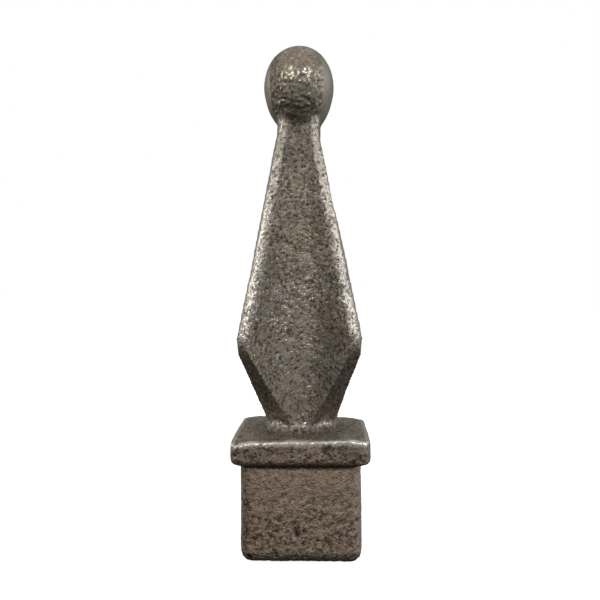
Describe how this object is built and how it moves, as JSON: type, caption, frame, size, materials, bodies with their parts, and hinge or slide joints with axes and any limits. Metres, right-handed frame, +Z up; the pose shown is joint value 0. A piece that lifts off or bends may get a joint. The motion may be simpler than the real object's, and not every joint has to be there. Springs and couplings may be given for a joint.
{
  "type": "fence post finial",
  "caption": "Cast-iron finial that plugs into a square tube: a fluted four-ridged spear with a ball on top, on a square flange and plug.",
  "frame": {"origin": "centre of the plug's flat underside, the lowest face", "axes": "+Z up along the finial's axis, from the plug to the ball; -Y out of the face that the picture shows; X across that face, +X to the right"},
  "size_m": [0.0254, 0.0254, 0.0969],
  "materials": {
    "cast_iron": "raw sand-cast grey iron, brownish grey, grainy and pitted, with worn bright ridges"
  },
  "bodies": {
    "root": {"finial_casting": "cast_iron"}
  },
  "joints": []
}
